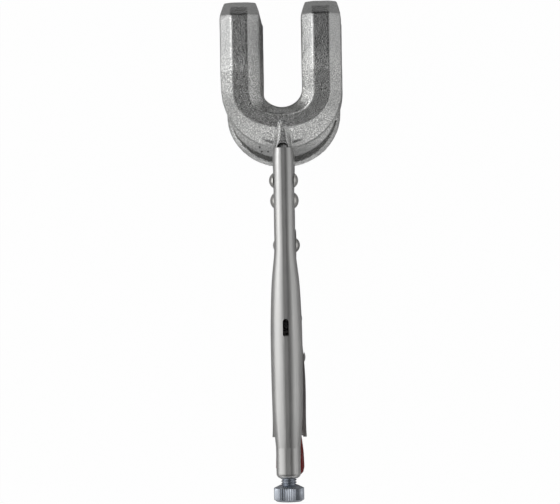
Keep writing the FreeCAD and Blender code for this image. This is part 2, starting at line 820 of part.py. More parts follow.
def lower_handle():
    body = new_body("lower_handle")
    stations = [
        ("lower_front_y", LOWER_CHEEK, LOWER_CHEEK, "front_belly_z", "belly_flat"),
        ("handle_pivot_y-3.5", LOWER_CHEEK, LOWER_CHEEK, "front_belly_z", "belly_flat"),
        ("lower_neck_y", f"{LOWER_CHEEK}+0.1", f"{LOWER_CHEEK}+0.1", "neck_belly_z", "belly_flat"),
        ("waist_y", "waist_width/2", "waist_width/2", "waist_belly_z", "belly_flat"),
        ("link_pivot_y", "hump_width/2", "hump_width/2", "hump_belly_z", "belly_flat"),
        ("lower_swell_y", "lower_swell_width/2", "lower_swell_width/2", "swell_belly_z", "belly_flat"),
        ("lower_grip_y", "lower_grip_width/2", "lower_grip_width/2", "grip_belly_z", "belly_flat"),
        ("heel_y", "heel_width/2", "heel_width/2", "-stand_drop", "belly_flat"),
        ("lower_end_y", "lower_end_width/2", "lower_end_width/2", "end_belly_z", "belly_flat"),
    ]
    channel(body, "belly", stations, "lower_top_z", "lower_top_z+5", "lower_sheet", -1)
    upper_edge = outline(
        side_sketch(body, "upper_edge"),
        [
            ("lower_front_y+5", "lower_top_z+8"),
            ("lower_front_y+5", "-30"),
            ("handle_pivot_y", "handle_pivot_z+7"),
            ("link_pivot_y+9", "link_pivot_z+1"),
            ("link_pivot_y+4.2", "link_pivot_z+4.8"),
            ("link_pivot_y-4.2", "link_pivot_z+4.8"),
            ("lever_pivot_y", "lever_edge_z"),
            ("lower_end_y-5", "end_edge_z"),
            ("lower_end_y-5", "lower_top_z+8"),
        ],
        {2: ("60", 1), 4: ("6.4", 1), 5: ("40", 1), 6: ("300", 1)},
    )
    pocket(body, upper_edge, "4*knob_radius")
    document.recompute()
    fork = outline(
        new_sketch(body, "fork", "XY_Plane"),
        [
            (f"-{SHANK}/2-side_clearance", "fork_end_y"),
            (f"{SHANK}/2+side_clearance", "fork_end_y"),
            (f"{SHANK}/2+side_clearance", "lower_front_y+5"),
            (f"-{SHANK}/2-side_clearance", "lower_front_y+5"),
        ],
    )
    pocket(body, fork, "4*stand_drop")
    document.recompute()
    front = outline(
        side_sketch(body, "front_round"),
        [
            ("lower_front_y+5", "-60"),
            ("handle_pivot_y-1", "-60"),
            ("handle_pivot_y", "handle_pivot_z-front_round"),
            ("handle_pivot_y+front_round", "handle_pivot_z"),
            ("lower_front_y+5", "handle_pivot_z"),
        ],
        {2: ("front_round", -1)},
    )
    pocket(body, front, "4*knob_radius")
    document.recompute()
    for name, spot, radius in (
        ("front_hole", ("handle_pivot_y", "handle_pivot_z"), "handle_rivet_radius"),
        ("link_hole", ("link_pivot_y", "link_pivot_z"), "link_rivet_radius"),
        ("lever_hole", ("lever_pivot_y", "lever_pivot_z"), "lever_rivet_radius"),
    ):
        rivet_hole(body, name, spot, radius)
        document.recompute()
    return body


def toggle_link():
    body = new_body("toggle_link")
    bar = tangent_outline(
        side_sketch(body, "bar"),
        ("link_pivot_y", "link_pivot_z"), "link_hub_radius",
        ("link_end_y", "screw_axis_z"), "link_end_radius",
    )
    pad(body, bar, "link_thickness")
    document.recompute()
    hub = circle(side_sketch(body, "hub"), ("link_pivot_y", "link_pivot_z"), "link_hub_radius")
    pad(body, hub, "link_hub_width")
    document.recompute()
    head = circle(side_sketch(body, "head"), ("link_end_y", "screw_axis_z"), "link_end_radius")
    pad(body, head, "link_end_width")
    document.recompute()
    rivet_hole(
        body, "link_hole", ("link_pivot_y", "link_pivot_z"), "link_rivet_radius+pivot_clearance"
    )
    return body


def release_lever():
    body = new_body("release_lever")
    stations = [
        ("lever_front_y", "lever_nose_width/2", "lever_nose_width/2", "lever_nose_z", "lever_flat"),
        ("lever_pivot_y", "lever_width/2-0.6", "lever_width/2-0.6", "lever_nose_z-1", "lever_flat"),
        ("-95", "lever_width/2", "lever_width/2", "lever_nose_z-2.7", "lever_flat"),
        ("lower_end_y+2", "lever_width/2+0.1", "lever_width/2+0.1", "lever_nose_z-4.5", "lever_flat"),
        ("lower_end_y-8", "lever_tail_width/2-0.2", "lever_tail_width/2-0.2", "lever_nose_z-5.3", "lever_flat"),
        ("lever_end_y", "lever_tail_width/2", "lever_tail_width/2", "lever_nose_z-6.3", "lever_flat"),
    ]
    channel(body, "web", stations, "-42", "-45", "lever_sheet", 1)
    under = outline(
        side_sketch(body, "under_edge"),
        [
            ("lever_front_y+5", "-50"),
            ("lever_front_y+5", "-29.5"),
            ("lever_front_y", "-29.5"),
            ("lever_pivot_y+4", "lever_pivot_z-3.6"),
            ("lever_pivot_y-4", "lever_pivot_z-3.6"),
            ("-110", "lever_wall_z"),
            ("lever_end_y-5", "lever_wall_z-1.8"),
            ("lever_end_y-5", "-50"),
        ],
        {3: ("12", -1)},
    )
    pocket(body, under, "4*knob_radius")
    document.recompute()
    tail = outline(
        new_sketch(body, "tail_round", "XY_Plane"),
        [
            ("-12", "lever_end_y-5"),
            ("12", "lever_end_y-5"),
            ("12", "lever_end_y+lever_end_round"),
            ("lever_tail_width/2", "lever_end_y+lever_end_round"),
            ("lever_tail_width/2-lever_end_round", "lever_end_y"),
            ("-lever_tail_width/2+lever_end_round", "lever_end_y"),
            ("-lever_tail_width/2", "lever_end_y+lever_end_round"),
            ("-12", "lever_end_y+lever_end_round"),
        ],
        {3: ("lever_end_round", -1), 5: ("lever_end_round", -1)},
    )
    pocket(body, tail, "4*stand_drop")
    document.recompute()
    rivet_hole(
        body, "pivot_hole", ("lever_pivot_y", "lever_pivot_z"),
        "lever_rivet_radius+pivot_clearance",
    )
    return body


# rivets, screw and spring -------------------------------------------------------------------

def rivet(name, spot, radius, head_radius, seat, head_height):
    """A rivet across the tool: its shank and two domed heads that seat at a distance from the
    middle, drawn as half a profile and turned about its axis."""
    body = new_body(name)
    sketch = new_sketch(body, f"{name}_profile", "XY_Plane")
    sketch.setExpression("AttachmentOffset.Base.z", size(spot[1]))
    axis_y = spot[0]
    dome = f"(({head_radius})^2+({head_height})^2)/(2*({head_height}))"
    outline(
        sketch,
        [
            (f"-({seat})-({head_height})", axis_y),
            (f"({seat})+({head_height})", axis_y),
            (seat, f"{axis_y}+{head_radius}"),
            (seat, f"{axis_y}+{radius}"),
            (f"-({seat})", f"{axis_y}+{radius}"),
            (f"-({seat})", f"{axis_y}+{head_radius}"),
        ],
        {1: (dome, -1), 5: (dome, -1)},
    )
    document.recompute()
    turned = body.newObject("PartDesign::Revolution", f"{name}_turned")
    turned.Profile = sketch
    turned.ReferenceAxis = (sketch, ["Edge1"])
    turned.Angle = 360
    return body


def rivets():
    cheek = "cheek_width/2"
    return [
        rivet("upper_jaw_rivet", ("front_rivet_y", "front_rivet_z"), "front_rivet_radius-0.01",
              "front_head_radius", f"{cheek}+cheek_flare/10", "head_height"),
        rivet("jaw_pivot_rivet", ("0", "jaw_pivot_z"), "jaw_rivet_radius-0.01",
              "jaw_head_radius", f"{cheek}+0.01", "head_height"),
        rivet("handle_rivet", ("handle_pivot_y", "handle_pivot_z"), "handle_rivet_radius-0.01",
              "handle_head_radius", f"{LOWER_CHEEK}+0.14", "head_height-0.2"),
        rivet("link_rivet", ("link_pivot_y", "link_pivot_z"), "link_rivet_radius-0.01",
              "link_head_radius", "hump_width/2+0.26", "low_head_height"),
        rivet("lever_pin", ("lever_pivot_y", "lever_pivot_z"), "lever_rivet_radius-0.01",
              "lever_head_radius", "lower_grip_width/2-0.15", "0.7"),
    ]


def turned_piece(name, points, arcs=None):
    """A piece turned about the screw's axis: points are (distance from the axis, Y)."""
    body = new_body(name)
    sketch = new_sketch(body, f"{name}_profile", "XY_Plane")
    sketch.setExpression("AttachmentOffset.Base.z", size("screw_axis_z"))
    outline(sketch, points, arcs)
    document.recompute()
    turned = body.newObject("PartDesign::Revolution", f"{name}_turned")
    turned.Profile = sketch
    turned.ReferenceAxis = (sketch, ["V_Axis"])
    turned.Angle = 360
    return body


def adjusting_screw():
    return turned_piece(
        "adjusting_screw",
        [
            ("0", "screw_tip_y"),
            ("0", "knob_end_y+1.2"),
            ("screw_radius-0.6", "knob_end_y+1.2"),
            ("screw_radius-0.6", "knob_front_y"),
            ("screw_radius", "knob_front_y"),
            ("screw_radius", "screw_tip_y-1"),
            ("screw_radius-1", "screw_tip_y"),
        ],
    )


def screw_knob():
    return turned_piece(
        "screw_knob",
        [
            ("screw_radius-0.6", "knob_front_y"),
            ("screw_radius-0.6", "knob_end_y"),
            ("knob_radius-knob_chamfer", "knob_end_y"),
            ("knob_radius", "knob_end_y+knob_chamfer"),
            ("knob_radius", "knob_front_y-knob_chamfer"),
            ("knob_radius-knob_chamfer", "knob_front_y"),
        ],
    )


def tension_spring():
    """The coiled body of the spring with a wire loop at each end."""
    start = Vector(0, value("spring_lug_y"), value("spring_lug_z"))
    end = Vector(0, value("anchor_y-2.6-spring_wire/2"), value("anchor_z"))
    along = (end - start).normalize()
    wire = value("spring_wire") / 2
    radius = value("spring_radius")
    loop = value("spring_loop")
    first = start + along * 2 * loop
    last = end - along * 2 * loop
    tube = Part.makeCylinder(radius, (last - first).Length, first, along)
    hollow = Part.makeCylinder(radius - 2 * wire, (last - first).Length, first, along)
    coil = tube.cut(hollow)
    across = along.cross(Vector(1, 0, 0))
    for spot in (start + along * loop, end - along * loop):
        coil = coil.fuse(Part.makeTorus(loop, wire, spot, across))
    feature = document.addObject("Part::Feature", "tension_spring")
    feature.Label = "tension_spring"
    feature.Shape = coil
    stand(feature)
    return feature


pieces = [
    fixed_handle(),
    end_nut(),
    upper_jaw(),
    lower_jaw(),
    lower_handle(),
    toggle_link(),
    release_lever(),
    *rivets(),
    adjusting_screw(),
    screw_knob(),
    tension_spring(),
]
document.recompute()

faults = [thing.Name for thing in document.Objects if set(thing.State) & {"Invalid", "Error"}]
if faults:
    raise RuntimeError(f"these objects failed: {faults}")
for piece in pieces:
    if piece.Shape.isNull() or not piece.Shape.isValid():
        raise RuntimeError(f"{piece.Label} has no valid shape")

os.makedirs("parts", exist_ok=True)
for piece in pieces:
    piece.Shape.exportStep(f"parts/{piece.Label}.step")
    box = piece.Shape.BoundBox
    print(
        f"{piece.Label}: {len(piece.Shape.Solids)} solid, {piece.Shape.Volume:.0f} mm3, "
        f"x {box.XMin:.1f}..{box.XMax:.1f} y {box.YMin:.1f}..{box.YMax:.1f} "
        f"z {box.ZMin:.1f}..{box.ZMax:.1f}"
    )
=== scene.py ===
import math

import bpy
from mathutils import Matrix, Vector


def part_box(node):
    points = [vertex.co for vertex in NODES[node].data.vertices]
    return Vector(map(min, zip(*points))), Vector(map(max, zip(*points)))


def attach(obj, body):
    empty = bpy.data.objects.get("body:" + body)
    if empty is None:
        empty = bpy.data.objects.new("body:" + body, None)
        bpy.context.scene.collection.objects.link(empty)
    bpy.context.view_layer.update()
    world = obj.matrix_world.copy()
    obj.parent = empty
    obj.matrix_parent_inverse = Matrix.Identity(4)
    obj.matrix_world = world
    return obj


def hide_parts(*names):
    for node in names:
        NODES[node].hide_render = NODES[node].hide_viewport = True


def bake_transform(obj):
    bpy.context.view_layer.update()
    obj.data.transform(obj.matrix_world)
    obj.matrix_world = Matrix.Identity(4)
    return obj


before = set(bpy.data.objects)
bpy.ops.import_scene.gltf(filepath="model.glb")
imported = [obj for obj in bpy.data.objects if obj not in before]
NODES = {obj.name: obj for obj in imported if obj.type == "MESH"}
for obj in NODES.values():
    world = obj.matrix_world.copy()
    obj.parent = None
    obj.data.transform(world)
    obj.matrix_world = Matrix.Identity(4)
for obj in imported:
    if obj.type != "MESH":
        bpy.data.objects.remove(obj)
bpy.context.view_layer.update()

MM = 0.001


# ---------------------------------------------------------------- finishes

class Level:
    """A number that changes over a surface. Sums on it add their Math nodes."""

    def __init__(self, finish, socket):
        self.finish = finish
        self.socket = socket

    def __add__(self, other):
        return self.finish.maths("ADD", self, other)

    def __radd__(self, other):
        return self.finish.maths("ADD", other, self)

    def __sub__(self, other):
        return self.finish.maths("SUBTRACT", self, other)

    def __rsub__(self, other):
        return self.finish.maths("SUBTRACT", other, self)

    def __mul__(self, other):
        return self.finish.maths("MULTIPLY", self, other)

    def __rmul__(self, other):
        return self.finish.maths("MULTIPLY", other, self)


class Nodes:
    """The nodes of a material or of the studio's walls."""

    def __init__(self, tree):
        self.tree = tree
        self.tree.nodes.clear()

    def add(self, kind, settings, inputs, output=0):
        node = self.tree.nodes.new(kind)
        for name, setting in settings.items():
            setattr(node, name, setting)
        for name, level in inputs.items():
            if isinstance(level, Level):
                self.tree.links.new(level.socket, node.inputs[name])
            else:
                node.inputs[name].default_value = level
        return None if output is None else Level(self, node.outputs[output])

    def maths(self, operation, first, second):
        return self.add("ShaderNodeMath", {"operation": operation}, {0: first, 1: second})

    def colour_between(self, level, first, second):
        inputs = {0: level, 6: first, 7: second}
        return self.add("ShaderNodeMix", {"data_type": "RGBA"}, inputs, 2)

    def between(self, level, low, high):
        """0 below low, 1 above high, and a soft step from one to the other."""
        return self.add(
            "ShaderNodeMapRange",
            {"interpolation_type": "SMOOTHSTEP"},
            {"Value": level, "From Min": low, "From Max": high},
        )


class Finish(Nodes):
    """A material and its look."""

    def __init__(self, name):
        self.material = bpy.data.materials.new(name)
        self.material.use_nodes = True
        super().__init__(self.material.node_tree)
        self.place = self.add("ShaderNodeTexCoord", {}, {}, "Object")

    def stretched(self, scale):
        return self.add("ShaderNodeMapping", {}, {"Vector": self.place, "Scale": scale})

    def noise(self, scale, detail=3.0, rough=0.55, place=None):
        return self.add(
            "ShaderNodeTexNoise",
            {},
            {"Vector": place or self.place, "Scale": scale, "Detail": detail, "Roughness": rough},
        )

    def relief(self, level, depth, strength=1.0):
        return self.add(
            "ShaderNodeBump",
            {},
            {"Height": level, "Distance": depth, "Strength": strength},
        )

    def surface(self, inputs):
        shader = self.add("ShaderNodeBsdfPrincipled", {}, inputs)
        self.add("ShaderNodeOutputMaterial", {}, {"Surface": shader}, output=None)
        return self.material


def satin_nickel():
    """Pressed sheet, brushed along its length and plated."""
    finish = Finish("satin_nickel")
    streaks = finish.noise(1500, 4, 0.6, finish.stretched((1, 0.03, 1)))
    clouds = finish.noise(70, 3, 0.5)
    grain = finish.noise(5200, 2, 0.5)
    tint = finish.colour_between(clouds, (0.58, 0.58, 0.575, 1), (0.70, 0.695, 0.68, 1))
    return finish.surface({
        "Base Color": tint,
        "Metallic": 1.0,
        "Roughness": 0.26 + streaks * 0.16 + clouds * 0.06,
        "Normal": finish.relief(streaks * 0.7 + grain * 0.3, 0.02 * MM, 0.5),
    })


PINHOLE = 0.5


def forged_nickel(name, pinholes=()):
    """Drop-forged steel, tumbled and plated. Its dimples are stronger near the bend, and each
    pinhole given is a dip with painted shade, near-black, inside it.
    """
    finish = Finish(name)
    along = finish.add("ShaderNodeSeparateXYZ", {}, {0: finish.place}, "Y")
    near_bend = finish.between(along, 0.050, 0.058) * (1 - finish.between(along, 0.086, 0.104))
    dimples = finish.noise(900, 2, 0.5)
    sand = finish.between(finish.noise(1900, 2, 0.5), 0.36, 0.62)
    swell = finish.noise(240, 3, 0.5)
    grain = finish.noise(4200, 3, 0.6)
    clouds = finish.noise(90, 3, 0.5)
    coarse = 0.55 + near_bend * 0.75
    relief = dimples * coarse * 0.8 + sand * coarse * 0.35 + swell * 0.6 + grain * 0.10
    shade = clouds * 0.25 + sand * coarse * 0.55 + grain * 0.30
    tint = finish.colour_between(shade, (0.30, 0.305, 0.31, 1), (0.98, 0.98, 0.96, 1))
    for x, y in pinholes:
        flat = finish.add("ShaderNodeVectorMath", {"operation": "MULTIPLY"},
                          {0: finish.place, 1: (1, 1, 0)})
        away = finish.add("ShaderNodeVectorMath", {"operation": "DISTANCE"},
                          {0: flat, 1: (x * MM, y * MM, 0)}, "Value")
        # each pinhole is a small dip in the relief plus painted shade: its colour goes near-black
        # where the hole's inside lies in shade
        pinhole_dip_and_shade = 1 - finish.between(away, PINHOLE * MM / 2, PINHOLE * MM)
        relief = relief - pinhole_dip_and_shade * 3
        tint = finish.colour_between(pinhole_dip_and_shade, tint, (0.03, 0.03, 0.03, 1))
    return finish.surface({
        "Base Color": tint,
        "Metallic": 1.0,
        "Roughness": 0.16 + grain * 0.12 + dimples * 0.06,
        "Normal": finish.relief(relief, 0.13 * MM, 1.0),
    })


def polished_rivet():
    finish = Finish("polished_rivet")
    scuffs = finish.noise(1900, 4, 0.7)
    turns = finish.noise(600, 2, 0.5)
    tint = finish.colour_between(turns, (0.60, 0.59, 0.57, 1), (0.72, 0.71, 0.69, 1))
    return finish.surface({
        "Base Color": tint,
        "Metallic": 1.0,
        "Roughness": 0.13 + scuffs * 0.16,
        "Normal": finish.relief(scuffs, 0.02 * MM, 0.4),
    })


def bright_zinc():
    """Turned steel under thin bluish zinc."""
    finish = Finish("bright_zinc")
    turning = finish.noise(2600, 3, 0.6, finish.stretched((0.15, 1, 0.15)))
    clouds = finish.noise(260, 3, 0.5)
    tint = finish.colour_between(clouds, (0.42, 0.46, 0.52, 1), (0.60, 0.63, 0.68, 1))
    return finish.surface({
        "Base Color": tint,
        "Metallic": 1.0,
        "Roughness": 0.22 + turning * 0.2,
        "Normal": finish.relief(turning, 0.02 * MM, 0.5),
    })


def dull_link_steel():
    finish = Finish("dull_link_steel")
    rolling = finish.noise(1700, 4, 0.6, finish.stretched((1, 0.06, 1)))
    stains = finish.noise(140, 4, 0.6)
    tint = finish.colour_between(stains, (0.34, 0.34, 0.33, 1), (0.52, 0.51, 0.50, 1))
    return finish.surface({
        "Base Color": tint,
        "Metallic": 1.0,
        "Roughness": 0.32 + rolling * 0.2,
        "Normal": finish.relief(rolling, 0.04 * MM, 0.6),
    })


def red_lever_coat():
    """Deep red gloss enamel, a little uneven where it ran to the edges."""
    finish = Finish("red_lever_coat")
    ripple = finish.noise(420, 3, 0.5)
    dust = finish.noise(3600, 2, 0.5)
    tint = finish.colour_between(ripple, (0.20, 0.0030, 0.0035, 1), (0.30, 0.0050, 0.0050, 1))
    return finish.surface({
        "Base Color": tint,
        "Roughness": 0.20 + dust * 0.10,
        "Coat Weight": 0.35,
        "Coat Roughness": 0.08,
        "Normal": finish.relief(ripple + dust * 0.2, 0.05 * MM, 0.5),
    })


def spring_steel():
    finish = Finish("spring_steel")
    drawn = finish.noise(1500, 3, 0.6)
    tint = finish.colour_between(drawn, (0.24, 0.24, 0.25, 1), (0.42, 0.42, 0.42, 1))
    return finish.surface({
        "Base Color": tint,
        "Metallic": 1.0,
        "Roughness": 0.25 + drawn * 0.2,
        "Normal": finish.relief(drawn, 0.02 * MM, 0.5),
    })


NICKEL = satin_nickel()
# the upper forging's pinholes at these places get painted shade, near-black, inside their dips
UPPER_FORGED = forged_nickel("forged_upper_nickel", ((-11.8, 53.2), (-10.9, 51.0), (-7.7, 50.8)))
LOWER_FORGED = forged_nickel("forged_lower_nickel")
RIVET = polished_rivet()
ZINC = bright_zinc()
LINK = dull_link_steel()
RED = red_lever_coat()
SPRING = spring_steel()


def give(thing, material):
    thing.data.materials.clear()
    thing.data.materials.append(material)


# ---------------------------------------------------------------- shaping

SEAM = 0.002 * MM


def put_down_everything():
    if bpy.context.object and bpy.context.object.mode != "OBJECT":
        bpy.ops.object.mode_set(mode="OBJECT")
    bpy.ops.object.select_all(action="DESELECT")


def pick_up(piece):
    put_down_everything()
    piece.select_set(True)
    bpy.context.view_layer.objects.active = piece


def named(name):
    """The primitive that was just added, under its own name."""
    piece = bpy.context.object
    piece.name = name
    piece.data.name = name
    return piece


def edit(piece):
    pick_up(piece)
    bpy.ops.object.mode_set(mode="EDIT")
    bpy.ops.mesh.select_mode(type="VERT")
    bpy.ops.mesh.select_all(action="DESELECT")


def done_editing():
    bpy.ops.object.mode_set(mode="OBJECT")


def choose(piece, kind, test):
    """Selects the vertices, edges or faces that pass the test, in edit mode."""
    bpy.ops.mesh.select_all(action="DESELECT")
    bpy.ops.mesh.select_mode(type={"vertices": "VERT", "edges": "EDGE", "polygons": "FACE"}[kind])
    bpy.ops.object.mode_set(mode="OBJECT")
    mesh = piece.data
    for item in getattr(mesh, kind):
        if kind == "vertices":
            item.select = test(item.co)
        elif kind == "edges":
            item.select = test(*[mesh.vertices[v].co for v in item.vertices])
        else:
            item.select = test(item.center, item.normal)
    bpy.ops.object.mode_set(mode="EDIT")


def apply_modifier(piece, kind, **settings):
    pick_up(piece)
    modifier = piece.modifiers.new(kind.lower(), kind)
    for name, setting in settings.items():
        setattr(modifier, name, setting)
    bpy.ops.object.modifier_apply(modifier=modifier.name)


def settle(piece):
    """Puts the piece's place and turn into its mesh."""
    pick_up(piece)
    bpy.ops.object.transform_apply(location=True, rotation=True, scale=True)


def joined(pieces):
    put_down_everything()
    for piece in pieces:
        piece.select_set(True)
    bpy.context.view_layer.objects.active = pieces[0]
    bpy.ops.object.join()
    return pieces[0]


def copy_of(node, name):
    """A closed copy of a solid, its loose triangles merged."""
    piece = bpy.data.objects.new(name, NODES[node].data.copy())
    bpy.context.scene.collection.objects.link(piece)
    edit(piece)
    bpy.ops.mesh.select_all(action="SELECT")
    bpy.ops.mesh.remove_doubles(threshold=SEAM)
    done_editing()
    return piece


def trimmed_copy(node, name, y_cut, clear_ahead):
    """A copy of a solid without what stands ahead of a cut across the tool, or behind it."""
    piece = copy_of(node, name)
    edit(piece)
    bpy.ops.mesh.select_all(action="SELECT")
    bpy.ops.mesh.bisect(plane_co=(0, y_cut * MM, 0), plane_no=(0, 1, 0), use_fill=True,
                        clear_outer=clear_ahead, clear_inner=not clear_ahead)
    done_editing()
    return piece


def finish_piece(piece, material, slot, body, *nodes):
    give(piece, material)
    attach(piece, body)
    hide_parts(*nodes)


# ---------------------------------------------------------------- forged jaws

FORGING_GRAIN = 0.45 * MM
DIMPLE_SIZE = 7 * MM
DIMPLE_DEPTH = 0.18 * MM
DIMPLE_MIDDLE = 0.62

# heights are measured from the plane where the pads meet
PAD_PLANE = 28.0
ARM_MIDDLE = 20.25
ARM_LEVEL = 21.5
ARM_HALF = 10.0
ARM_HALF_BASE = 7.5
ARM_HALF_RIDGE = 4.1
CREASE_Y = 90.7
SLOPE = math.radians(19)
SLOPE_RUN = 9.9
BEND_Y = CREASE_Y - SLOPE_RUN * math.cos(SLOPE)
BEND_RISE = ARM_LEVEL - SLOPE_RUN * math.sin(SLOPE)
BEND_STEPS = 16
# the bend's section: its heights from the arm's middle, and what it gains or loses half way round
BEND_HALF_DEPTH = 6.5
BEND_LOW_EDGE = -3.0
BEND_HIGH_EDGE = 1.5
BEND_WIDER_INSIDE = 0.5
BEND_RIDGE_SHIFT = 6.2
BEND_RIDGE_LOSS = 0.7
BEND_EASE = 1.6
# along the tool, half width, half base, half ridge, then the heights of base, low edge,
# high edge and ridge
CREASE = (CREASE_Y, ARM_HALF, ARM_HALF_BASE, ARM_HALF_RIDGE, 15.0, 18.5, 23.0, 28.0)
TIP_STATIONS = (
    (125.3, 7.9, 6.7, 4.1, 0.2, 4.0, 15.8, 19.6),
    (122.7, 8.7, 7.1, 4.2, 0.2, 4.5, 19.6, 24.3),
    (118.6, 9.8, 7.3, 4.2, 0.2, 4.8, 22.9, 27.9),
    (116.6, 10.0, 7.4, 4.1, 0.2, 5.0, 23.0, 28.0),
    (104.1, 10.0, 7.5, 4.1, 15.0, 18.5, 23.0, 28.0),
)


def tip_section(side, station):
    """The eight corners of one arm, from its inner base edge round to its outer one."""
    y, half, base, ridge, low, side_low, side_high, top = station
    corners = ((-base, low), (base, low), (half, side_low), (half, side_high),
               (ridge, top), (-ridge, top), (-half, side_high), (-half, side_low))
    return [Vector((side * (ARM_MIDDLE - x), y, PAD_PLANE + z)) * MM for x, z in corners]


def bend_section(turn, share):
    """The arm's eight corners a turn round the bend. The ridge stands nearer the inner side
    there by the share given."""
    outward = Vector((-math.cos(turn), -math.sin(turn) * math.cos(SLOPE),
                      -math.sin(turn) * math.sin(SLOPE)))
    up = Vector((0, -math.sin(SLOPE), math.cos(SLOPE)))
    centre = Vector((0, BEND_Y, PAD_PLANE + BEND_RISE))
    wider = BEND_WIDER_INSIDE * share
    shift = BEND_RIDGE_SHIFT * share
    ridge = ARM_HALF_RIDGE - BEND_RIDGE_LOSS * share
    corners = ((-ARM_HALF_BASE, -BEND_HALF_DEPTH), (ARM_HALF_BASE + wider, -BEND_HALF_DEPTH),
               (ARM_HALF + wider, BEND_LOW_EDGE), (ARM_HALF + wider, BEND_HIGH_EDGE),
               (shift + ridge, BEND_HALF_DEPTH), (shift - ridge, BEND_HALF_DEPTH),
               (-ARM_HALF, BEND_HIGH_EDGE), (-ARM_HALF, BEND_LOW_EDGE))
    return [(centre + outward * (ARM_MIDDLE - x) + up * z) * MM for x, z in corners]


def u_sections():
    """Every section of the U, from one tip round the bend to the other."""
    arm = (*TIP_STATIONS, CREASE)
    sections = [tip_section(-1, station) for station in arm]
    for step in range(BEND_STEPS + 1):
        turn = math.pi * step / BEND_STEPS
        sections.append(bend_section(turn, math.sin(turn) ** BEND_EASE))
    return sections + [tip_section(1, station) for station in reversed(arm)]


def pick_numbers(piece, numbers):
    bpy.ops.mesh.select_all(action="DESELECT")
    bpy.ops.object.mode_set(mode="OBJECT")
    for number in numbers:
        piece.data.vertices[number].select = True
    bpy.ops.object.mode_set(mode="EDIT")


def put_corners(piece, numbers, places):
    for number, place in zip(numbers, places):
        pick_numbers(piece, [number])
        bpy.ops.transform.translate(value=place - piece.data.vertices[number].co)


def swept(name, sections):
    """A bar drawn through a row of sections that have the same number of corners."""
    corners = len(sections[0])
    put_down_everything()
    bpy.ops.mesh.primitive_circle_add(vertices=corners, radius=5 * MM, fill_type="NGON")
    piece = named(name)
    edit(piece)
    put_corners(piece, range(corners), sections[0])
    for before, section in zip(sections, sections[1:]):
        bpy.ops.object.mode_set(mode="OBJECT")
        count = len(piece.data.vertices)
        bpy.ops.object.mode_set(mode="EDIT")
        pick_numbers(piece, range(count - corners, count))
        bpy.ops.mesh.extrude_region_move(TRANSFORM_OT_translate={"value": (0, 0, 0)})
        bpy.ops.object.mode_set(mode="OBJECT")
        spots = [(number, piece.data.vertices[number].co.copy())
                 for number in range(count, count + corners)]
        numbers = [min(spots, key=lambda spot: (spot[1] - corner).length)[0]
                   for corner in before]
        bpy.ops.object.mode_set(mode="EDIT")
        put_corners(piece, numbers, section)
    bpy.ops.mesh.select_all(action="SELECT")
    bpy.ops.mesh.normals_make_consistent(inside=False)
    done_editing()
    return piece


def cut_away(piece, cutter):
    apply_modifier(piece, "BOOLEAN", object=cutter, operation="DIFFERENCE", solver="EXACT")
    bpy.data.objects.remove(cutter)


def round_cutter(name, radius, place, length, tilt=0.0):
    put_down_everything()
    bpy.ops.mesh.primitive_cylinder_add(
        vertices=96, radius=radius * MM, depth=length * MM,
        location=place * MM, rotation=(tilt, 0, 0))
    cutter = named(name)
    settle(cutter)
    return cutter


# along the tool, half foot, half crest, then the heights of foot and crest
RIB_STATIONS = (
    (70.0, 4.6, 1.4, 34.0, 48.2),
    (66.0, 3.9, 1.4, 34.0, 47.9),
    (61.0, 3.3, 1.5, 34.0, 47.2),
    (56.5, 3.6, 2.2, 34.0, 46.3),
    (52.6, 4.1, 3.3, 34.0, 45.2),
    (45.0, 3.0, 2.6, 34.5, 42.0),
)
RIB_WING = 2.6


def rib_section(y, foot, crest, low, top):
    wing = top - RIB_WING
    corners = ((-foot, low), (foot, low), (foot, wing), (crest, top), (-crest, top), (-foot, wing))
    return [Vector((x, y, z)) * MM for x, z in corners]


def rib():
    """The rib from the bend to the handle's mouth, waisted and with winged sides."""
    return swept("rib", [rib_section(*station) for station in RIB_STATIONS])


def fused(jaw):
    """One skin round everything that the jaw was joined from."""
    apply_modifier(jaw, "REMESH", mode="VOXEL", voxel_size=FORGING_GRAIN)


def as_forged(jaw, name):
    """Every edge softened as it left the die, and its faces faintly uneven."""
    fused(jaw)
    apply_modifier(jaw, "SMOOTH", factor=0.5, iterations=4)
    dimples = bpy.data.textures.new(name + "_dimples", "CLOUDS")
    dimples.noise_scale = DIMPLE_SIZE
    dimples.noise_depth = 2
    apply_modifier(jaw, "DISPLACE", texture=dimples, texture_coords="LOCAL",
                   strength=DIMPLE_DEPTH, mid_level=DIMPLE_MIDDLE)
    pick_up(jaw)
    bpy.ops.object.shade_smooth()


PART_LINE_DROP = 3.0
# the flank's height above and below the parting line, and what its radius loses over each
FLANK_RISE = 6.0
FLANK_RISE_LOSS = 8.7
FLANK_FALL = 3.48
FLANK_FALL_LOSS = 2.48
FLANK_HOLE = 12.0
FLANK_OVERLAP = 2.0
# radius, and how far its centre stands behind the bend's
UPPER_FLANK = (28.2, 8.7)
LOWER_FLANK = (29.25, 12.4)
THROUGH = 60.0


def parting(up):
    """The middle of the bend where the forging's halves part, and two directions there:
    away from the work, and back along the slope."""
    away = Vector((0, -math.sin(SLOPE), up * math.cos(SLOPE)))
    back = Vector((0, -math.cos(SLOPE), -up * math.sin(SLOPE)))
    middle = Vector((0, BEND_Y, PAD_PLANE + up * BEND_RISE)) - away * PART_LINE_DROP
    return middle, away, back


